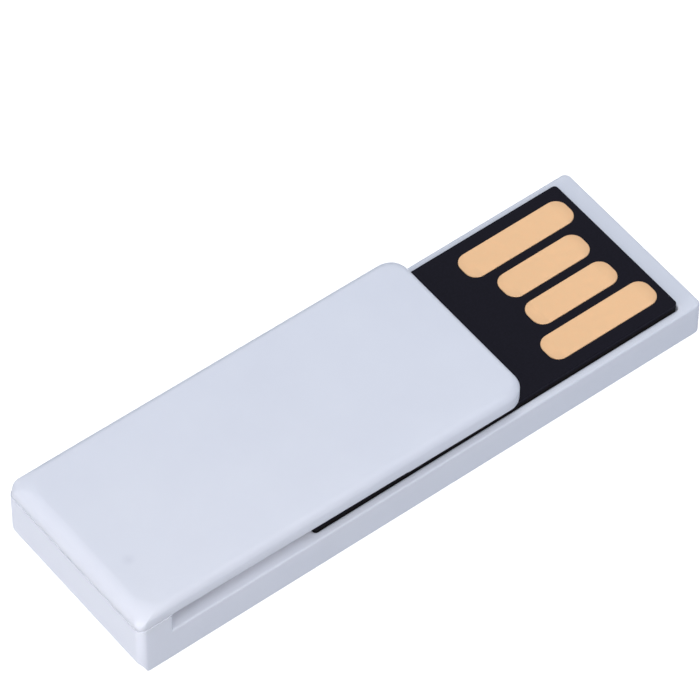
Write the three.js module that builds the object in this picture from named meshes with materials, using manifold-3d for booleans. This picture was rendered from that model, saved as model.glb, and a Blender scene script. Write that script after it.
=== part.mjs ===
// USB flash drive with a spring clip, in millimetres, +Z up. +X points to the connector end.
// The origin is at the centre of the underside.
import * as THREE from "three";
import { mergeVertices } from "three/addons/utils/BufferGeometryUtils.js";
import Module from "manifold-3d";

const wasm = await Module();
wasm.setup();

// ---- driving dimensions ----
const LENGTH = 39.0;
const WIDTH = 12.1; // fits a USB-A socket
const WALL_TOP = 2.45; // top of the tray's low walls
const SLOT_HEIGHT = 1.35; // tray walls to the clip's underside, at its root
const COVER_THICK = 1.02;
const BLOCK_LENGTH = 2.2;
const CLOSED_CORNER_R = 0.55;
const CONNECTOR_CORNER_R = 0.4;
const CLOSED_BOTTOM_R = 1.15;
const SIDE_BOTTOM_R = 0.15;
const WALL_EDGE_R = 0.12;

const COVER_INSET = 0.05; // the cover stands this far inside the tray's outline
const PLUG_LENGTH = 12.45; // clip tip to connector end
const CLIP_CORNER_R = 1.15;
const CLIP_TIP_R = 0.25;
const COVER_EDGE_R = 0.45;
const COVER_CLOSED_R = 0.95;
const CLIP_SLOPE = 0.0115; // drop per millimetre of arm
const ARM_TAPER = 0.09; // the arm is this much thicker where the pad starts than at its root
const PAD_DEPTH = 0.05; // the tip's gripping pad is this much thicker again
const PAD_LENGTH = 8.5;
const PAD_RAMP = 0.3;
const FLEX_GAP = 0.1; // cut between the fixed plate and the moving arm
const FLEX_OVERHANG = 0.25; // the fixed plate ends this far past the block

const PEG_R = 0.6;
const PEG_LENGTH = 1.2;
const PEG_PITCH = 7.2;
const PEG_CLEARANCE = 0.02;
const PEG_END_ROOM = 0.1;

const CHIP_LENGTH = 25.5;
const CHIP_THICK = 1.4;
const CHIP_CORNER_R = 0.25;
const CHIP_PROUD = 0.39; // above the tray's low walls
const CHIP_SIDE_FIT = 0.08;
const CHIP_END_FIT = 0.05;
const SIDE_WALL = 0.52;
const END_WALL = 1.25;
const BOARD_THICK = 0.3;
const TAPE_THICK = 0.1;
const TAPE_INSET = 0.7;
const TAPE_CORNER_R = 0.3;

const CONTACT_WIDTH = 1.9;
const CONTACT_R = 0.75;
const CONTACT_PITCH = 2.455;
const CONTACT_THICK = 0.08;
const CONTACT_PROUD = 0.03;
const OUTER_CONTACT = { from: 0.45, length: 7.6 }; // distance from the chip's front edge
const INNER_CONTACT = { from: 1.28, length: 5.9 };

const FLASH = { length: 10.6, width: 8.4, thick: 0.15, from: 1.1, stagger: 0.6 };
const CONTROLLER = { length: 2.9, width: 2.5, thick: 0.15, gap: 1.2 };
const FILM_THICK = 0.03;
const CAPACITOR = { length: 1.0, width: 0.5, height: 0.5 };
const CAPACITOR_ROWS = [2.6, 3.9]; // distance from the centre line
const RESISTOR = { length: 1.0, width: 0.5, height: 0.35 };
const RESISTOR_ROW = 0.6;
const SMALL_PART_GAP = 1.1; // controller to the first small part
const SMALL_PART_STEP = 2.2;

// ---- places worked out from them ----
const closedX = -LENGTH / 2;
const connectorX = LENGTH / 2;
const blockX = closedX + BLOCK_LENGTH;
const tipX = connectorX - PLUG_LENGTH;
const seamZ = WALL_TOP + SLOT_HEIGHT; // where the cover sits on the tray's block
const topZ = seamZ + COVER_THICK;
const flexX = blockX + FLEX_OVERHANG;
const chipTop = WALL_TOP + CHIP_PROUD;
const chipBottom = chipTop - CHIP_THICK;
const boardBottom = chipTop - BOARD_THICK;
const recessFloor = chipBottom - TAPE_THICK;
const recessFront = connectorX - END_WALL;
const chipFront = recessFront - CHIP_END_FIT;
const chipBack = chipFront - CHIP_LENGTH;
const recessWidth = WIDTH - 2 * SIDE_WALL;
const chipWidth = recessWidth - 2 * CHIP_SIDE_FIT;

// ---- materials ----
const paint = (name, color, roughness, metalness = 0) =>
  new THREE.MeshStandardMaterial({ name, color, roughness, metalness });
const whitePlastic = paint("white_plastic", 0xe1e6f2, 0.42);
const blackBoard = paint("black_board", 0x24222a, 0.5);
const blackResin = paint("black_resin", 0x1c1b20, 0.6);
const gold = paint("gold_plating", 0xeec394, 0.3, 1);
const silicon = paint("silicon", 0x5a5f6c, 0.15, 0.6);
const film = paint("die_film", 0xd9c27a, 0.7);
const capacitorBody = paint("capacitor_ceramic", 0xa9835c, 0.5);
const resistorBody = paint("resistor_coating", 0x23262c, 0.4);
const tape = paint("adhesive_tape", 0xf2efe4, 0.8);

// ---- shapes and solids ----
const ARC_STEPS = 8; // per quarter turn
const POST_SIDES = 32;
const CUT_MARGIN = 1; // how far a cutting shape runs past what it cuts

// A closed outline from corners [x, y, radius], each corner an arc.
function outline(corners) {
  const points = [];
  corners.forEach(([x, y, r = 0], i) => {
    const here = new THREE.Vector2(x, y);
    if (r <= 0) {
      points.push(here);
      return;
    }
    const [px, py] = corners[(i + corners.length - 1) % corners.length];
    const [nx, ny] = corners[(i + 1) % corners.length];
    const back = new THREE.Vector2(px, py).sub(here).normalize();
    const ahead = new THREE.Vector2(nx, ny).sub(here).normalize();
    const half = Math.acos(back.dot(ahead)) / 2;
    const centre = here.clone().add(
      back.clone().add(ahead).normalize().multiplyScalar(r / Math.sin(half)),
    );
    const start = here.clone().addScaledVector(back, r / Math.tan(half)).sub(centre);
    const end = here.clone().addScaledVector(ahead, r / Math.tan(half)).sub(centre);
    const turn = Math.atan2(start.x * end.y - start.y * end.x, start.dot(end));
    const steps = Math.max(2, Math.round((ARC_STEPS * Math.abs(turn)) / (Math.PI / 2)));
    for (let k = 0; k <= steps; k++)
      points.push(start.clone().rotateAround(new THREE.Vector2(), (turn * k) / steps).add(centre));
  });
  return new THREE.Shape(points);
}

function solidOf(geometry) {
  const plain = new THREE.BufferGeometry().setAttribute(
    "position",
    (geometry.index ? geometry.toNonIndexed() : geometry).getAttribute("position"),
  );
  const merged = mergeVertices(plain, 1e-4);
  return new wasm.Manifold(
    new wasm.Mesh({
      numProp: 3,
      vertProperties: new Float32Array(merged.attributes.position.array),
      triVerts: new Uint32Array(merged.index.array),
    }),
  );
}

const extrude = (shape, depth) =>
  new THREE.ExtrudeGeometry(shape, { depth, bevelEnabled: false, steps: 1 });

// A plan outline (x, y), raised from z0 to z1.
const raised = (shape, z0, z1) => solidOf(extrude(shape, z1 - z0).translate(0, 0, z0));

// A side outline (x, z), run across the width.
const across = (shape, width) =>
  solidOf(
    extrude(shape, width)
      .rotateX(Math.PI / 2)
      .translate(0, width / 2, 0),
  );

// An end outline (y, z), run along the length from x0 to x1.
function along(shape, x0, x1) {
  const turn = new THREE.Matrix4().makeBasis(
    new THREE.Vector3(0, 1, 0),
    new THREE.Vector3(0, 0, 1),
    new THREE.Vector3(1, 0, 0),
  );
  return solidOf(extrude(shape, x1 - x0).applyMatrix4(turn).translate(x0, 0, 0));
}

const box = (x0, x1, y0, y1, z0, z1) =>
  solidOf(
    new THREE.BoxGeometry(x1 - x0, y1 - y0, z1 - z0).translate(
      (x0 + x1) / 2,
      (y0 + y1) / 2,
      (z0 + z1) / 2,
    ),
  );

const post = (x, y, r, z0, z1) =>
  solidOf(
    new THREE.CylinderGeometry(r, r, z1 - z0, POST_SIDES)
      .rotateX(Math.PI / 2)
      .translate(x, y, (z0 + z1) / 2),
  );

// A rectangle of size [length, width] with rounded corners, from x0 to x1 about the line y.
const plate = (x0, x1, y, width, r) =>
  outline([
    [x0, y - width / 2, r],
    [x1, y - width / 2, r],
    [x1, y + width / 2, r],
    [x0, y + width / 2, r],
  ]);

const group = new THREE.Group();
group.name = "usb_flash_drive";

function add(name, solid, material) {
  const made = solid.getMesh();
  const stride = made.numProp;
  const position = new Float32Array(made.numVert * 3);
  for (let i = 0; i < made.numVert; i++)
    position.set(made.vertProperties.subarray(i * stride, i * stride + 3), i * 3);
  const geometry = new THREE.BufferGeometry();
  geometry.setAttribute("position", new THREE.BufferAttribute(position, 3));
  geometry.setIndex(new THREE.BufferAttribute(new Uint32Array(made.triVerts), 1));
  const flat = geometry.toNonIndexed();
  flat.computeVertexNormals();
  const mesh = new THREE.Mesh(flat, material);
  mesh.name = name;
  group.add(mesh);
}

// ---- tray: one moulding with low walls round the chip and a block at the closed end ----
const pegPlaces = [-PEG_PITCH / 2, PEG_PITCH / 2].map((y) => [closedX + BLOCK_LENGTH / 2, y]);

function trayLayer(x1, top, edgeR) {
  const plan = outline([
    [closedX, -WIDTH / 2, CLOSED_CORNER_R],
    [connectorX, -WIDTH / 2, CONNECTOR_CORNER_R],
    [connectorX, WIDTH / 2, CONNECTOR_CORNER_R],
    [closedX, WIDTH / 2, CLOSED_CORNER_R],
  ]);
  const endR = x1 === connectorX ? SIDE_BOTTOM_R : 0;
  const side = outline([
    [closedX, 0, CLOSED_BOTTOM_R],
    [x1, 0, endR],
    [x1, top, edgeR],
    [closedX, top, edgeR],
  ]);
  const section = outline([
    [-WIDTH / 2, 0, SIDE_BOTTOM_R],
    [WIDTH / 2, 0, SIDE_BOTTOM_R],
    [WIDTH / 2, top, edgeR],
    [-WIDTH / 2, top, edgeR],
  ]);
  return raised(plan, -CUT_MARGIN, top + CUT_MARGIN)
    .intersect(across(side, WIDTH + 2 * CUT_MARGIN))
    .intersect(along(section, closedX - CUT_MARGIN, connectorX + CUT_MARGIN));
}

function baseTray() {
  const recess = plate(
    chipBack - CHIP_END_FIT,
    recessFront,
    0,
    recessWidth,
    CHIP_CORNER_R + CHIP_SIDE_FIT,
  );
  let tray = trayLayer(connectorX, WALL_TOP, WALL_EDGE_R)
    .add(trayLayer(blockX, seamZ, 0))
    .subtract(raised(recess, recessFloor, topZ));
  for (const [x, y] of pegPlaces)
    tray = tray.subtract(
      post(x, y, PEG_R + PEG_CLEARANCE, seamZ - PEG_LENGTH - PEG_END_ROOM, topZ),
    );
  return tray;
}

// ---- cover: one moulding on the real object, a fixed plate that runs on as the clip arm ----
function coverBlank() {
  const back = closedX + COVER_INSET;
  const half = WIDTH / 2 - COVER_INSET;
  const plan = outline([
    [back, -half, CLOSED_CORNER_R],
    [tipX, -half, CLIP_CORNER_R],
    [tipX, half, CLIP_CORNER_R],
    [back, half, CLOSED_CORNER_R],
  ]);
  const padX = tipX - PAD_LENGTH;
  const padZ = seamZ - ARM_TAPER - PAD_DEPTH;
  const side = outline([
    [back, seamZ],
    [flexX + FLEX_GAP, seamZ],
    [padX, seamZ - ARM_TAPER],
    [padX + PAD_RAMP, padZ],
    [tipX, padZ, CLIP_TIP_R],
    [tipX, topZ, CLIP_TIP_R],
    [back, topZ, COVER_CLOSED_R],
  ]);
  const section = outline([
    [-half, padZ],
    [half, padZ],
    [half, topZ, COVER_EDGE_R],
    [-half, topZ, COVER_EDGE_R],
  ]);
  return raised(plan, seamZ - CUT_MARGIN, topZ + CUT_MARGIN)
    .intersect(across(side, WIDTH + 2 * CUT_MARGIN))
    .intersect(along(section, closedX - CUT_MARGIN, tipX + CUT_MARGIN));
}

function coverPlate() {
  let made = coverBlank().intersect(box(closedX, flexX, -WIDTH, WIDTH, 0, topZ + CUT_MARGIN));
  for (const [x, y] of pegPlaces)
    made = made.add(post(x, y, PEG_R, seamZ - PEG_LENGTH, seamZ + COVER_THICK / 2));
  return made;
}

function clipArm() {
  const rootX = flexX + FLEX_GAP;
  const level = coverBlank().intersect(
    box(rootX, tipX + CUT_MARGIN, -WIDTH, WIDTH, 0, topZ + CUT_MARGIN),
  );
  const made = level.getMesh();
  const stride = made.numProp;
  const position = new Float32Array(made.numVert * 3);
  for (let i = 0; i < made.numVert; i++) {
    const [x, y, z] = made.vertProperties.subarray(i * stride, i * stride + 3);
    position.set([x, y, z - CLIP_SLOPE * (x - rootX)], i * 3);
  }
  return new wasm.Manifold(
    new wasm.Mesh({
      numProp: 3,
      vertProperties: position,
      triVerts: new Uint32Array(made.triVerts),
    }),
  );
}

// ---- chip module: contacts on a thin board, with the dies and small parts moulded in below ----
const contacts = ["ground", "data_plus", "data_minus", "power"].map((signal, i) => {
  const { from, length } = i === 0 || i === 3 ? OUTER_CONTACT : INNER_CONTACT;
  return { signal, y: (i - 1.5) * CONTACT_PITCH, x1: chipFront - from, x0: chipFront - from - length };
});
const contactSeat = chipTop + CONTACT_PROUD - CONTACT_THICK;

function contactShape({ x0, x1, y }) {
  return plate(x0, x1, y, CONTACT_WIDTH, CONTACT_R);
}

const chipShape = plate(chipBack, chipFront, 0, chipWidth, CHIP_CORNER_R);

function contactBoard() {
  let board = raised(chipShape, boardBottom, chipTop);
  for (const contact of contacts)
    board = board.subtract(raised(contactShape(contact), contactSeat, chipTop + CUT_MARGIN));
  return board;
}

// Everything inside the resin, as a box hung from the board: top is the distance below the board.
const inside = [];
function hang(name, material, x0, length, y, width, top, thick) {
  const z1 = boardBottom - top;
  inside.push({ name, material, size: [x0, x0 + length, y - width / 2, y + width / 2, z1 - thick, z1] });
}

const flashX = chipBack + FLASH.from;
let stack = 0;
for (const [level, shift] of [["lower", 0], ["upper", FLASH.stagger]]) {
  const x = flashX + shift;
  hang(`${level}_flash_film`, film, x, FLASH.length, 0, FLASH.width, stack, FILM_THICK);
  stack += FILM_THICK;
  hang(`${level}_flash_die`, silicon, x, FLASH.length, 0, FLASH.width, stack, FLASH.thick);
  stack += FLASH.thick;
}
const controllerX = flashX + FLASH.length + FLASH.stagger + CONTROLLER.gap;
hang("controller_film", film, controllerX, CONTROLLER.length, 0, CONTROLLER.width, 0, FILM_THICK);
hang("controller_die", silicon, controllerX, CONTROLLER.length, 0, CONTROLLER.width,
  FILM_THICK, CONTROLLER.thick);

const rowX = controllerX + CONTROLLER.length + SMALL_PART_GAP;
const mirrored = (rows) => rows.flatMap((y) => [-y, y]);
function hangRow(kind, size, material, places) {
  places.forEach(([step, y], i) =>
    hang(`${kind}_${i + 1}`, material, rowX + step * SMALL_PART_STEP, size.length, y, size.width,
      0, size.height));
}
hangRow("capacitor", CAPACITOR, capacitorBody, [
  ...mirrored(CAPACITOR_ROWS).map((y) => [0, y]),
  ...mirrored(CAPACITOR_ROWS.slice(-1)).map((y) => [1, y]),
]);
hangRow("resistor", RESISTOR, resistorBody, [
  ...mirrored([RESISTOR_ROW]).map((y) => [0, y]),
  ...mirrored([RESISTOR_ROW]).map((y) => [1, y]),
]);

function encapsulation() {
  let resin = raised(chipShape, chipBottom, boardBottom);
  for (const { size: [x0, x1, y0, y1, z0, z1] } of inside)
    resin = resin.subtract(box(x0, x1, y0, y1, z0, z1 < boardBottom ? z1 : boardBottom + CUT_MARGIN));
  return resin;
}

// ---- assembly ----
add("base_tray", baseTray(), whitePlastic);
add("cover_plate", coverPlate(), whitePlastic);
add("clip_arm", clipArm(), whitePlastic);
add(
  "chip_tape",
  raised(
    plate(chipBack + TAPE_INSET, chipFront - TAPE_INSET, 0, chipWidth - 2 * TAPE_INSET, TAPE_CORNER_R),
    recessFloor,
    chipBottom,
  ),
  tape,
);
add("chip_resin", encapsulation(), blackResin);
add("contact_board", contactBoard(), blackBoard);
for (const contact of contacts)
  add(
    `contact_${contact.signal}`,
    raised(contactShape(contact), contactSeat, contactSeat + CONTACT_THICK),
    gold,
  );
for (const { name, material, size } of inside) add(name, box(...size), material);

export default group;
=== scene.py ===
import math

import bmesh
import bpy
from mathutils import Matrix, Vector


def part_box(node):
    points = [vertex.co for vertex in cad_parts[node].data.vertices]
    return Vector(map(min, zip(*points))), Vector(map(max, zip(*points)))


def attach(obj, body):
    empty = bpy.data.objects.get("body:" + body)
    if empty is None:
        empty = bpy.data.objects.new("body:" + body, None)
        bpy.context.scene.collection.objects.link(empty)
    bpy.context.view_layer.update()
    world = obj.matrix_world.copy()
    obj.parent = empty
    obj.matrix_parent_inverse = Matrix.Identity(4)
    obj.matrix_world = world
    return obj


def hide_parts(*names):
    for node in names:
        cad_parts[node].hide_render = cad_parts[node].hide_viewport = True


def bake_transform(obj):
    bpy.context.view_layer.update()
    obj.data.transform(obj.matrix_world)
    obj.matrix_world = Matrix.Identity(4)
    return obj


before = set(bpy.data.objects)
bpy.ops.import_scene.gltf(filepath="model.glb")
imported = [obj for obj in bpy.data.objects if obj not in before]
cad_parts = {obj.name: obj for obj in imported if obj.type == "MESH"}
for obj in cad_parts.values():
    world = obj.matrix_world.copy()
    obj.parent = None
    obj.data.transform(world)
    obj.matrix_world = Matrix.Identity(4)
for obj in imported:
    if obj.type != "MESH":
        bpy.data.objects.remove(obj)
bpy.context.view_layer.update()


# ---------------------------------------------------------------------------------------------
# Base tray
# The lower shell of the drive, one injection moulding in satin white ABS. Low walls run round
# the chip's recess, and a raised block at the closed end carries the cover.

MM = 0.001
tray_low, tray_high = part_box("base_tray")
chip_low, chip_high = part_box("chip_resin")
half_width = tray_high.y
wall_top = 2.45 * MM
block_length = 2.2 * MM
block_front = tray_low.x + block_length
closed_corner = 0.5 * MM  # plan radius of the two corners at the closed end
plug_corner = 0.4 * MM  # and of the two at the plug's end
under_end = 1.15 * MM  # bottom edge: well rounded at the closed end, barely broken along the sides
under_side = 0.2 * MM
under_growth = 0.4 * MM  # how much rounder the closed corners grow in plan towards the underside
chip_end_fit = 0.05 * MM
side_wall = 0.52 * MM
recess_back, recess_front = chip_low.x - chip_end_fit, chip_high.x + chip_end_fit
recess_half = half_width - side_wall
recess_corner = 0.2 * MM
recess_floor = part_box("chip_tape")[0].z
rim_edge = 0.12 * MM
seam_edge = 0.005 * MM
ARC = 10  # steps round a corner seen from above
EDGE_ARC = 12  # steps round a broad soft edge


def ease(t):
    t = min(1.0, max(0.0, t))
    return t * t * (3 - 2 * t)


def stations(start, end, step=0.5 * MM):
    """Even places between two ends, ends left out."""
    count = max(1, round((end - start) / step))
    return [start + (end - start) * i / count for i in range(1, count)]


def near_edge(x0, x1, half, r0, r1, places):
    """The near half of a rounded rectangle seen from above, as (x, y, how far it faces along x)."""
    line = []
    for k in range(ARC + 1):
        a = math.pi + math.pi / 2 * k / ARC
        line.append((x0 + r0 + r0 * math.cos(a), -half + r0 + r0 * math.sin(a), math.cos(a)))
    line += [(x, -half, 0.0) for x in places]
    for k in range(ARC + 1):
        a = math.pi * 1.5 + math.pi / 2 * k / ARC
        line.append((x1 - r1 + r1 * math.cos(a), -half + r1 + r1 * math.sin(a), math.cos(a)))
    return line


def loop(bm, edge, height, middle=0.0):
    """A closed loop of vertices round an outline: along the near side, and back along the far one."""
    near = [bm.verts.new((x, middle + y, height(x, nx))) for x, y, nx in edge]
    far = [bm.verts.new((x, middle - y, height(x, nx))) for x, y, nx in edge]
    return near + far[::-1]


def wall(bm, low, high):
    n = len(low)
    for i in range(n):
        j = (i + 1) % n
        bm.faces.new((low[i], low[j], high[j], high[i]))


def lid(bm, ring, up=True):
    """Closes a loop with strips that run straight across it, none of them a sliver."""
    n = len(ring) // 2
    narrowest = 0.1 * MM
    cuts = [0]
    for i in range(1, n - 1):
        before = ring[i].co.x - ring[cuts[-1]].co.x
        after = ring[n - 1].co.x - ring[i].co.x
        if before > narrowest and after > narrowest:
            cuts.append(i)
    for a, b in zip(cuts, cuts[1:] + [n - 1]):
        strip = ring[a:b + 1] + ring[2 * n - 1 - b:2 * n - a]
        bm.faces.new(strip if up else strip[::-1])


def bevel(bm, edges, size, steps=3):
    bmesh.ops.bevel(bm, geom=edges, offset=size, offset_type="OFFSET", segments=steps,
                    profile=0.5, affect="EDGES", clamp_overlap=True)


def piece(name, bm, material):
    """Turns a finished mesh into a named piece. Its flat faces shade flat right up to their soft edges."""
    level = 0.9995  # a face this square to an axis is one of the flat ones
    strong, weak = 16384, -16384  # the weights that the modifier below reads
    bmesh.ops.recalc_face_normals(bm, faces=bm.faces[:])
    bm.normal_update()
    strength = bm.faces.layers.int.new("__mod_weightednormals_faceweight")
    for face in bm.faces:
        face[strength] = strong if max(abs(c) for c in face.normal) > level else weak
    data = bpy.data.meshes.new(name)
    bm.to_mesh(data)
    bm.free()
    data.polygons.foreach_set("use_smooth", [True] * len(data.polygons))
    data.materials.append(material)
    made = bpy.data.objects.new(name, data)
    bpy.context.scene.collection.objects.link(made)
    shading = made.modifiers.new("flat faces stay flat", "WEIGHTED_NORMAL")
    shading.mode = "FACE_AREA"
    shading.use_face_influence = True
    return made


def rounding(nx, end, side, front):
    """The radius of an edge, easing round each corner from the end's to the side's to the front's."""
    return side + (end - side) * ease(-nx) + (front - side) * ease(nx)


def shape_tray():
    bm = bmesh.new()
    beside_recess = stations(recess_back + recess_corner, recess_front - recess_corner)
    places = [block_front] + stations(block_front, recess_back + recess_corner)
    places += [recess_back + recess_corner] + beside_recess

    def outline(shrink):
        return near_edge(tray_low.x + under_end * shrink, tray_high.x - under_side * shrink,
                         half_width - under_side * shrink, closed_corner + under_growth * shrink,
                         plug_corner, places)

    outer = outline(0)
    inner = near_edge(recess_back, recess_front, recess_half, recess_corner, recess_corner, beside_recess)

    # the underside and its rounded edge, then the sides up to the rim
    rings = []
    for k in range(EDGE_ARC + 1):
        a = math.pi / 2 * k / EDGE_ARC
        rings.append(loop(bm, outline(1 - math.sin(a)),
                          lambda x, nx: rounding(nx, under_end, under_side, under_side) * (1 - math.cos(a))))
    lid(bm, rings[0], up=False)
    for low, high in zip(rings, rings[1:]):
        wall(bm, low, high)
    rim = loop(bm, outer, lambda x, nx: wall_top)
    wall(bm, rings[-1], rim)

    # the block: sides and top carried up from the part of the rim behind its front face
    n = len(outer)
    at_block = ARC + 1
    rim_near, rim_far = rim[:n], rim[n:][::-1]
    top_near = [bm.verts.new((v.co.x, v.co.y, tray_high.z)) for v in rim_near[:at_block + 1]]
    top_far = [bm.verts.new((v.co.x, v.co.y, tray_high.z)) for v in rim_far[:at_block + 1]]
    wall(bm, rim_near[:at_block + 1] + rim_far[:at_block + 1][::-1], top_near + top_far[::-1])
    lid(bm, top_near + top_far[::-1])

    # the recess, the tops of its walls and the plain shelf between it and the block
    mouth = loop(bm, inner, lambda x, nx: wall_top)
    floor = loop(bm, inner, lambda x, nx: recess_floor)
    wall(bm, mouth, floor)
    lid(bm, floor)
    m = len(inner)
    mouth_near, mouth_far = mouth[:m], mouth[m:][::-1]
    at_recess = n - (m - ARC)
    bm.faces.new(rim_near[at_block:at_recess + 1] + mouth_near[:ARC + 1][::-1]
                 + mouth_far[:ARC + 1] + rim_far[at_block:at_recess + 1][::-1])
    for i in range(m - ARC - 1):
        o, k = at_recess + i, ARC + i
        bm.faces.new((rim_near[o], rim_near[o + 1], mouth_near[k + 1], mouth_near[k]))
        bm.faces.new((rim_far[o + 1], rim_far[o], mouth_far[k], mouth_far[k + 1]))
    bm.faces.new((rim_near[-1], rim_far[-1], mouth_far[-1], mouth_near[-1]))

    # one flat face for each flat side, then a soft moulded edge round the walls and a finer one
    # round the top of the block, where the cover meets it
    flat, sharp = 0.001, 1  # radians between two faces
    just_under = 0.001 * MM

    def sharp_edges_above(z):
        return [e for e in bm.edges if abs(e.calc_face_angle(0)) > sharp
                and all(v.co.z > z - just_under for v in e.verts)]

    bmesh.ops.recalc_face_normals(bm, faces=bm.faces[:])
    bmesh.ops.dissolve_limit(bm, angle_limit=flat, verts=bm.verts[:], edges=bm.edges[:])
    bm.normal_update()
    bevel(bm, sharp_edges_above(tray_high.z), seam_edge, steps=2)
    bm.normal_update()
    bevel(bm, sharp_edges_above(wall_top), rim_edge)
    for v in bm.verts:  # the bevels that meet at the block's front corners stay flush with the sides
        v.co.y = min(max(v.co.y, -half_width), half_width)
    return bm


def white_plastic(name, gate=None):
    """Satin white moulded ABS: cool white, with the fine even grain that a spark-eroded mould leaves,
    a faint cloudiness in the tint and gloss, and a small round gate mark where one is given."""
    gate_reach = 0.75 * MM
    made = bpy.data.materials.new(name)
    made.use_nodes = True
    nodes, links = made.node_tree.nodes, made.node_tree.links
    shader = nodes["Principled BSDF"]
    shader.inputs["Subsurface Weight"].default_value = 0.35
    shader.inputs["Subsurface Radius"].default_value = (1.0, 1.0, 1.0)
    shader.inputs["Subsurface Scale"].default_value = 0.8 * MM
    shader.inputs["Specular IOR Level"].default_value = 0.45
    place = nodes.new("ShaderNodeTexCoord")

    cloud = nodes.new("ShaderNodeTexNoise")
    cloud.inputs["Scale"].default_value = 180
    cloud.inputs["Detail"].default_value = 3
    links.new(place.outputs["Object"], cloud.inputs["Vector"])
    tint = nodes.new("ShaderNodeValToRGB")
    tint.color_ramp.elements[0].position, tint.color_ramp.elements[1].position = 0.3, 0.7
    tint.color_ramp.elements[0].color = (0.805, 0.815, 0.860, 1)
    tint.color_ramp.elements[1].color = (0.835, 0.845, 0.885, 1)
    links.new(cloud.outputs["Fac"], tint.inputs["Fac"])
    gloss = nodes.new("ShaderNodeMapRange")
    gloss.inputs["To Min"].default_value, gloss.inputs["To Max"].default_value = 0.36, 0.48
    links.new(cloud.outputs["Fac"], gloss.inputs["Value"])
    links.new(gloss.outputs["Result"], shader.inputs["Roughness"])

    grain = nodes.new("ShaderNodeTexNoise")
    grain.inputs["Scale"].default_value = 9000
    grain.inputs["Detail"].default_value = 2
    links.new(place.outputs["Object"], grain.inputs["Vector"])
    bump = nodes.new("ShaderNodeBump")
    bump.inputs["Strength"].default_value = 0.12
    bump.inputs["Distance"].default_value = 0.01 * MM
    links.new(grain.outputs["Fac"], bump.inputs["Height"])
    links.new(bump.outputs["Normal"], shader.inputs["Normal"])

    colour = tint.outputs["Color"]
    if gate:
        away = nodes.new("ShaderNodeVectorMath")
        away.operation = "DISTANCE"
        away.inputs[1].default_value = gate
        links.new(place.outputs["Object"], away.inputs[0])
        spot = nodes.new("ShaderNodeValToRGB")
        spot.color_ramp.elements[0].color = (0.93, 0.93, 0.94, 1)
        spot.color_ramp.elements[1].position = 0.6
        reach = nodes.new("ShaderNodeMath")
        reach.operation = "DIVIDE"
        reach.inputs[1].default_value = gate_reach
        links.new(away.outputs["Value"], reach.inputs[0])
        links.new(reach.outputs["Value"], spot.inputs["Fac"])
        shade = nodes.new("ShaderNodeMix")
        shade.data_type, shade.blend_type = "RGBA", "MULTIPLY"
        shade.inputs["Factor"].default_value = 1
        links.new(colour, shade.inputs["A"])
        links.new(spot.outputs["Color"], shade.inputs["B"])
        colour = shade.outputs["Result"]
    links.new(colour, shader.inputs["Base Color"])
    return made


tray = piece("base_tray_moulding", shape_tray(), white_plastic("tray white plastic"))
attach(tray, "drive")
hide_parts("base_tray")


# ---------------------------------------------------------------------------------------------
# Chip tape
# A thin sheet of double-sided adhesive that holds the chip module down in the recess.
# Hidden once the drive is together.

tape_corner = 0.3 * MM
tape_edge = 0.01 * MM


def slab(x0, x1, y0, y1, r, z0, z1, edge, steps=3):
    """A flat plate with round corners in plan and softened edges."""
    bm = bmesh.new()
    middle, half = (y0 + y1) / 2, (y1 - y0) / 2

    def outline(inset):
        return near_edge(x0 + inset, x1 - inset, half - inset, r - inset, r - inset, [(x0 + x1) / 2])

    rings = []
    for k in range(steps + 1):
        a = math.pi / 2 * k / steps
        rings.append(loop(bm, outline(edge * (1 - math.sin(a))),
                          lambda x, nx: z0 + edge * (1 - math.cos(a)), middle))
    for k in range(steps + 1):
        a = math.pi / 2 * k / steps
        rings.append(loop(bm, outline(edge * (1 - math.cos(a))),
                          lambda x, nx: z1 - edge * (1 - math.sin(a)), middle))
    lid(bm, rings[0], up=False)
    for low, high in zip(rings, rings[1:]):
        wall(bm, low, high)
    lid(bm, rings[-1])
    return bm


def plate_over(node, r, edge):
    low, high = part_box(node)
    return slab(low.x, high.x, low.y, high.y, r, low.z, high.z, edge)


def speckled(name, dark, light, size, roughness, metallic=0.0, bump_height=0.0, specular=0.5):
    """A plain finish with a fine two-tone grain of the given size, which also varies the gloss."""
    either_way = 0.05  # how far the roughness strays
    made = bpy.data.materials.new(name)
    made.use_nodes = True
    nodes, links = made.node_tree.nodes, made.node_tree.links
    shader = nodes["Principled BSDF"]
    shader.inputs["Metallic"].default_value = metallic
    shader.inputs["Specular IOR Level"].default_value = specular
    place = nodes.new("ShaderNodeTexCoord")
    grain = nodes.new("ShaderNodeTexNoise")
    grain.inputs["Scale"].default_value = 1 / size
    grain.inputs["Detail"].default_value = 3
    links.new(place.outputs["Object"], grain.inputs["Vector"])
    tone = nodes.new("ShaderNodeValToRGB")
    tone.color_ramp.elements[0].position, tone.color_ramp.elements[1].position = 0.35, 0.65
    tone.color_ramp.elements[0].color = (*dark, 1)
    tone.color_ramp.elements[1].color = (*light, 1)
    links.new(grain.outputs["Fac"], tone.inputs["Fac"])
    links.new(tone.outputs["Color"], shader.inputs["Base Color"])
    gloss = nodes.new("ShaderNodeMapRange")
    gloss.inputs["To Min"].default_value = roughness - either_way
    gloss.inputs["To Max"].default_value = roughness + either_way
    links.new(grain.outputs["Fac"], gloss.inputs["Value"])
    links.new(gloss.outputs["Result"], shader.inputs["Roughness"])
    if bump_height:
        bump = nodes.new("ShaderNodeBump")
        bump.inputs["Strength"].default_value = 0.3
        bump.inputs["Distance"].default_value = bump_height
        links.new(grain.outputs["Fac"], bump.inputs["Height"])
        links.new(bump.outputs["Normal"], shader.inputs["Normal"])
    return made


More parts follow.
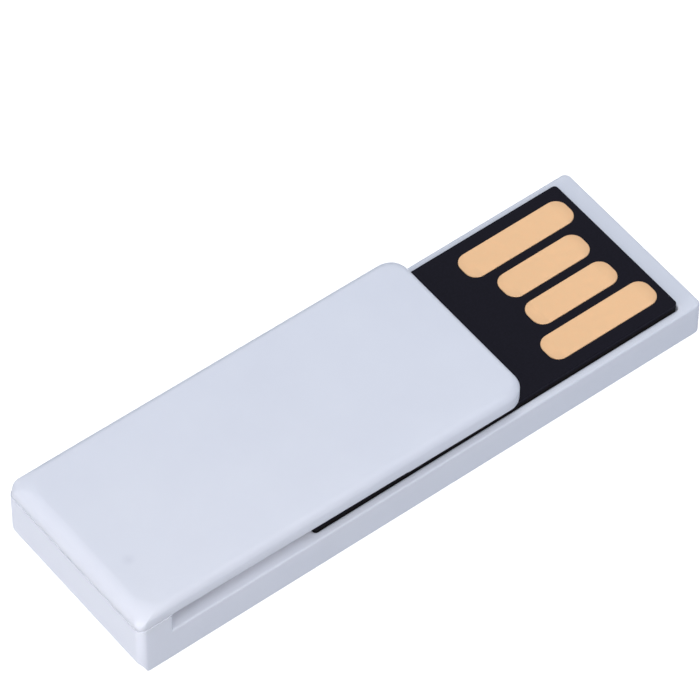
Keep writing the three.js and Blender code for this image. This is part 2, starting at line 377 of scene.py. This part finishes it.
tape_finish = speckled("tape", (0.78, 0.76, 0.68), (0.86, 0.84, 0.77), size=0.3 * MM, roughness=0.75)
tape = piece("chip_tape_sheet", plate_over("chip_tape", tape_corner, tape_edge), tape_finish)
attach(tape, "drive")
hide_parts("chip_tape")


# ---------------------------------------------------------------------------------------------
# Dies
# The two memory dies and the controller are slips of polished silicon, stacked on thin amber
# film and bonded to the inner face of the board.

slip_corner = 0.02 * MM
slip_edge = 0.004 * MM


def silicon(name):
    """Polished silicon: its colour is the faint grid of its circuits, in place of the plain grain."""
    dark, light, lines = (0.085, 0.10, 0.14), (0.10, 0.11, 0.15), (0.20, 0.19, 0.17)
    made = speckled(name, dark, light, size=0.9 * MM, roughness=0.18, metallic=0.6)
    nodes, links = made.node_tree.nodes, made.node_tree.links
    cells = nodes.new("ShaderNodeTexBrick")
    cells.inputs["Scale"].default_value = 700
    cells.inputs["Mortar Size"].default_value = 0.01
    cells.inputs["Color1"].default_value = (*light, 1)
    cells.inputs["Color2"].default_value = (*dark, 1)
    cells.inputs["Mortar"].default_value = (*lines, 1)
    links.new(nodes["Texture Coordinate"].outputs["Object"], cells.inputs["Vector"])
    links.new(cells.outputs["Color"], nodes["Principled BSDF"].inputs["Base Color"])
    return made


die_finish = silicon("polished silicon")
film_finish = speckled("die film", (0.62, 0.50, 0.18), (0.72, 0.60, 0.24), size=0.2 * MM, roughness=0.65)
for level in ("lower_flash", "upper_flash", "controller"):
    for kind, finish, slot_name in (("film", film_finish, "die_film"), ("die", die_finish, "silicon")):
        node = f"{level}_{kind}"
        slip = piece(f"{node}_slip", plate_over(node, slip_corner, slip_edge), finish)
        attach(slip, "drive")
        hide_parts(node)


# ---------------------------------------------------------------------------------------------
# Chip capacitors and resistors
# Small surface-mount parts on the inner face of the board: a ceramic block between two tinned
# end caps that wrap round its ends.

cap_length = 0.24 * MM
cap_skin = 0.012 * MM  # how far the block lies inside the outside of its caps
cap_corner, cap_edge = 0.04 * MM, 0.03 * MM
block_corner, block_edge = 0.03 * MM, 0.02 * MM


def small_part(node, body_finish, cap_finish):
    low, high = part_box(node)
    bm = slab(low.x + cap_skin, high.x - cap_skin, low.y + cap_skin, high.y - cap_skin, block_corner,
              low.z + cap_skin, high.z - cap_skin / 2, block_edge)
    for x0, x1 in ((low.x, low.x + cap_length), (high.x - cap_length, high.x)):
        end = bpy.data.meshes.new("end")
        tinned = slab(x0, x1, low.y, high.y, cap_corner, low.z, high.z, cap_edge)
        for face in tinned.faces:
            face.material_index = 1
        tinned.to_mesh(end)
        tinned.free()
        bm.from_mesh(end)
        bpy.data.meshes.remove(end)
    made = piece(f"{node}_block", bm, body_finish)
    made.data.materials.append(cap_finish)
    return made


tin = speckled("tinned ends", (0.62, 0.61, 0.58), (0.72, 0.71, 0.68), size=0.08 * MM, roughness=0.35,
               metallic=1.0)
ceramic = speckled("capacitor ceramic", (0.36, 0.20, 0.10), (0.42, 0.25, 0.13), size=0.1 * MM,
                   roughness=0.5)
resistor_coat = speckled("resistor coating", (0.014, 0.016, 0.02), (0.022, 0.024, 0.03), size=0.1 * MM,
                         roughness=0.35)
for kind, count, finish, slot_name in (("capacitor", 6, ceramic, "capacitor_ceramic"),
                                       ("resistor", 4, resistor_coat, "resistor_coating")):
    for i in range(count):
        node = f"{kind}_{i + 1}"
        block = small_part(node, finish, tin)
        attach(block, "drive")
        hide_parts(node)


# ---------------------------------------------------------------------------------------------
# Chip resin
# Black epoxy moulded over the dies and small parts. It keeps its exact moulded shape, with
# the hollows that they fill, and only a thin line of its side shows above the tray's wall.

resin_finish = speckled("black epoxy", (0.006, 0.0045, 0.0045), (0.010, 0.008, 0.008), size=0.06 * MM,
                        roughness=0.6, bump_height=0.004 * MM, specular=0.3)
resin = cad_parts["chip_resin"]
resin.data.materials.clear()
resin.data.materials.append(resin_finish)


# ---------------------------------------------------------------------------------------------
# Contact board
# A thin laminate with a matte black mask over it. It is sawn to size, so its edges are crisp,
# and the mask stops short of each contact and leaves a shallow seat for it.

board_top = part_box("contact_board")[1].z
board_corner = 0.25 * MM
board_edge = 0.03 * MM
contact_names = ("contact_ground", "contact_data_plus", "contact_data_minus", "contact_power")
contact_corner = 0.75 * MM
seat_gap = 0.015 * MM
seat_cutter_rise = 0.2 * MM


def cut_out(target, tool_mesh):
    """Cuts one closed mesh out of a piece."""
    data = bpy.data.meshes.new("cutter")
    tool_mesh.to_mesh(data)
    tool_mesh.free()
    cutter = bpy.data.objects.new("cutter", data)
    bpy.context.scene.collection.objects.link(cutter)
    cut = target.modifiers.new("seat", "BOOLEAN")
    cut.operation, cut.solver, cut.object = "DIFFERENCE", "EXACT", cutter
    bpy.context.view_layer.update()
    made = bpy.data.meshes.new_from_object(target.evaluated_get(bpy.context.evaluated_depsgraph_get()))
    target.modifiers.remove(cut)
    target.data = made
    bpy.data.objects.remove(cutter)


mask_finish = speckled("black mask", (0.0040, 0.0030, 0.0085), (0.0065, 0.0052, 0.0120), size=0.12 * MM,
                       roughness=0.5, bump_height=0.003 * MM, specular=0.12)
board = piece("contact_board_laminate", plate_over("contact_board", board_corner, board_edge), mask_finish)
for name in contact_names:
    low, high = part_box(name)
    cut_out(board, slab(low.x - seat_gap, high.x + seat_gap, low.y - seat_gap, high.y + seat_gap,
                        contact_corner + seat_gap, low.z, board_top + seat_cutter_rise, edge=0))
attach(board, "drive")
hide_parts("contact_board")


# ---------------------------------------------------------------------------------------------
# Contacts
# Four copper pads, nickel and gold plated, that the socket's springs press on. The outer two
# are longer, so that power meets first. Each has a soft edge.

contact_edge = 0.03 * MM


def gold_plating():
    """Soft matte gold: the copper under it is faintly rough, so it scatters light like satin."""
    made = bpy.data.materials.new("gold plating")
    made.use_nodes = True
    nodes, links = made.node_tree.nodes, made.node_tree.links
    shader = nodes["Principled BSDF"]
    shader.inputs["Metallic"].default_value = 0.7
    place = nodes.new("ShaderNodeTexCoord")
    grain = nodes.new("ShaderNodeTexNoise")
    grain.inputs["Scale"].default_value = 3200
    grain.inputs["Detail"].default_value = 4
    links.new(place.outputs["Object"], grain.inputs["Vector"])
    tone = nodes.new("ShaderNodeValToRGB")
    tone.color_ramp.elements[0].position, tone.color_ramp.elements[1].position = 0.3, 0.7
    tone.color_ramp.elements[0].color = (1.0, 0.610, 0.325, 1)
    tone.color_ramp.elements[1].color = (1.0, 0.640, 0.350, 1)
    links.new(grain.outputs["Fac"], tone.inputs["Fac"])
    links.new(tone.outputs["Color"], shader.inputs["Base Color"])
    gloss = nodes.new("ShaderNodeMapRange")
    gloss.inputs["To Min"].default_value, gloss.inputs["To Max"].default_value = 0.42, 0.58
    links.new(grain.outputs["Fac"], gloss.inputs["Value"])
    links.new(gloss.outputs["Result"], shader.inputs["Roughness"])
    bump = nodes.new("ShaderNodeBump")
    bump.inputs["Strength"].default_value = 0.35
    bump.inputs["Distance"].default_value = 0.004 * MM
    links.new(grain.outputs["Fac"], bump.inputs["Height"])
    links.new(bump.outputs["Normal"], shader.inputs["Normal"])
    return made


gold = gold_plating()
for name in contact_names:
    pad = piece(f"{name}_pad", plate_over(name, contact_corner, contact_edge), gold)
    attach(pad, "drive")
    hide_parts(name)


# ---------------------------------------------------------------------------------------------
# Cover and clip
# The second white moulding. Its closed end is bonded to the tray's block, and the rest stands
# free over the tray as a springy clip, drawn in its relaxed droop from the block's edge onwards.

plate_low, plate_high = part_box("cover_plate")
arm_low, arm_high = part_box("clip_arm")
clip_tip = arm_high.x
clip_root = arm_low.x
seam = tray_high.z
cover_top = plate_high.z
cover_half = plate_high.y
slope = 0.0115  # drop of the relaxed arm towards its tip
slope_start = 0.8 * MM  # the slope sets in this far either side of the arm's root
clip_corner = 1.15 * MM
arm_taper = 0.09 * MM  # the arm thickens this much from its root to the gripping pad
pad_length = 8.5 * MM
pad_start = clip_tip - pad_length
pad_depth = 0.05 * MM
pad_ramp = 0.3 * MM
lip_end, lip_side, lip_front = 0.005 * MM, 0.04 * MM, 0.22 * MM  # radii of the lower edge
top_end, top_side, top_front = 0.95 * MM, 0.45 * MM, 0.3 * MM  # and of the upper edge
top_growth = 0.9 * MM  # how much rounder the closed corners grow in plan towards the top
LIP_ARC = 4  # steps round the lower edge


def arm_drop(x):
    """How far the relaxed arm has dropped at x."""
    run = x - clip_root
    if run <= -slope_start:
        return 0.0
    if run >= slope_start:
        return slope * run
    return slope * (run + slope_start) ** 2 / (4 * slope_start)


def shape_cover():
    bm = bmesh.new()
    apart = 0.4 * MM  # between the stations that let the arm bend smoothly
    first, last = block_front + apart, clip_tip - 1.8 * MM
    places = [first] + stations(first, pad_start, apart)
    places += [pad_start + pad_ramp * t for t in (0, 0.25, 0.5, 0.75, 1)]
    places += stations(pad_start + pad_ramp, last, apart)

    def outline(end, side, front, corner, front_corner):
        return near_edge(plate_low.x + end, clip_tip - front, cover_half - side, corner, front_corner, places)

    def under(x):
        along = min(max((x - clip_root) / (pad_start - clip_root), 0.0), 1.0)
        return seam - arm_drop(x) - arm_taper * along - pad_depth * ease((x - pad_start) / pad_ramp)

    def over(x):
        return cover_top - arm_drop(x)

    def lip(nx):
        return rounding(nx, lip_end, lip_side, lip_front)

    def top(nx):
        return rounding(nx, top_end, top_side, top_front)

    rings = []
    for k in range(LIP_ARC + 1):
        a = math.pi / 2 * k / LIP_ARC
        c = 1 - math.sin(a)
        rings.append(loop(bm, outline(lip_end * c, lip_side * c, lip_front * c, closed_corner, clip_corner),
                          lambda x, nx: under(x) + lip(nx) * (1 - math.cos(a))))
    for k in range(EDGE_ARC + 1):
        a = math.pi / 2 * k / EDGE_ARC
        c = 1 - math.cos(a)
        rings.append(loop(bm, outline(top_end * c, top_side * c, top_front * c,
                                      closed_corner + top_growth * c, clip_corner),
                          lambda x, nx: over(x) - top(nx) * (1 - math.sin(a))))
    lid(bm, rings[0], up=False)
    for low, high in zip(rings, rings[1:]):
        wall(bm, low, high)
    lid(bm, rings[-1])
    return bm


gate_mark = (clip_root - 0.45 * MM, -2.26 * MM, cover_top)
cover = piece("cover_moulding", shape_cover(), white_plastic("cover white plastic", gate_mark))
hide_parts("cover_plate", "clip_arm")
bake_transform(cover)


# ---------------------------------------------------------------------------------------------
# Floor
# A plain white sweep that glows softly, as a light table does, so nothing behind the drive
# is darker than paper.

floor_reach = 2.0  # metres from the drive to the floor's edges
floor_gap = 0.01 * MM


def white_floor():
    made = bpy.data.materials.new("white sweep")
    made.use_nodes = True
    shader = made.node_tree.nodes["Principled BSDF"]
    shader.inputs["Base Color"].default_value = (0.5, 0.5, 0.5, 1)
    shader.inputs["Roughness"].default_value = 0.9
    shader.inputs["Emission Color"].default_value = (1, 1, 1, 1)
    shader.inputs["Emission Strength"].default_value = 0.95
    return made


bm = bmesh.new()
bmesh.ops.create_grid(bm, x_segments=1, y_segments=1, size=floor_reach)
floor_data = bpy.data.meshes.new("floor")
bm.to_mesh(floor_data)
bm.free()
floor = bpy.data.objects.new("floor", floor_data)
floor.location.z = -floor_gap
floor_data.materials.append(white_floor())
bpy.context.scene.collection.objects.link(floor)
floor.visible_diffuse = False  # the room and the lamps light the drive, and the floor's glow doesn't


# ---------------------------------------------------------------------------------------------
# Studio light and camera
# A dim bluish room and three softboxes: a broad one high over the near side, a low one at the
# closed end and a weaker one behind. A small warm card takes the chill off the closed end, and a
# long lens looks down on the near side from that end.

room_below, room_level, room_above = (0.222, 0.27, 0.378), (0.258, 0.290, 0.358), (0.191, 0.216, 0.257)
aim = Vector((2.116, 3.605, 2.025)) * MM
camera_azimuth, camera_elevation = -37.678, 51.526
camera_distance = 348.98 * MM
focal_length, sensor_width = 323.26, 36

world = bpy.data.worlds.new("studio")
bpy.context.scene.world = world
world.use_nodes = True
sky = world.node_tree.nodes
direction = sky.new("ShaderNodeTexCoord")
height = sky.new("ShaderNodeSeparateXYZ")
walls = sky.new("ShaderNodeMapRange")
walls.inputs["From Min"].default_value = -1
wash = sky.new("ShaderNodeValToRGB")
wash.color_ramp.elements[0].color = (*room_below, 1)
wash.color_ramp.elements[1].color = (*room_above, 1)
wash.color_ramp.elements.new(0.55).color = (*room_level, 1)
wires = world.node_tree.links
wires.new(direction.outputs["Generated"], height.inputs["Vector"])
wires.new(height.outputs["Z"], walls.inputs["Value"])
wires.new(walls.outputs["Result"], wash.inputs["Fac"])
wires.new(wash.outputs["Color"], sky["Background"].inputs["Color"])
bpy.context.scene.view_settings.view_transform = "Standard"


def place_facing(made, target, azimuth, elevation, distance):
    """Puts a lamp or a camera round the target, turned to face it: 0 is the near side, 90 the plug."""
    a, e = math.radians(azimuth), math.radians(elevation)
    away = Vector((math.sin(a) * math.cos(e), -math.cos(a) * math.cos(e), math.sin(e)))
    made.location = target + away * distance
    made.rotation_mode = "QUATERNION"
    made.rotation_quaternion = (-away).to_track_quat("-Z", "Y")
    bpy.context.scene.collection.objects.link(made)


def soft_light(name, azimuth, elevation, distance, size, power, colour):
    lamp = bpy.data.lights.new(name, "AREA")
    lamp.shape, lamp.size = "SQUARE", size
    lamp.energy, lamp.color = power, colour
    place_facing(bpy.data.objects.new(name, lamp), Vector((0, 0, 0)), azimuth, elevation, distance)


soft_light("key softbox", azimuth=-20, elevation=60, distance=0.5, size=0.35, power=1.38,
           colour=(0.825, 0.877, 1.0))
soft_light("low softbox", azimuth=-80, elevation=9, distance=0.5, size=0.15, power=1.1,
           colour=(0.94, 0.935, 0.98))
soft_light("rear softbox", azimuth=142, elevation=51, distance=0.6, size=0.4, power=0.7,
           colour=(0.96, 0.98, 1.0))
soft_light("warm card", azimuth=-45, elevation=40, distance=0.07, size=0.02, power=0.0036,
           colour=(1.0, 0.74, 0.38))

lens = bpy.data.cameras.new("camera")
lens.lens, lens.sensor_width = focal_length, sensor_width
lens.clip_start, lens.clip_end = 0.01, 10
camera = bpy.data.objects.new("camera", lens)
place_facing(camera, aim, camera_azimuth, camera_elevation, camera_distance)
bpy.context.scene.camera = camera
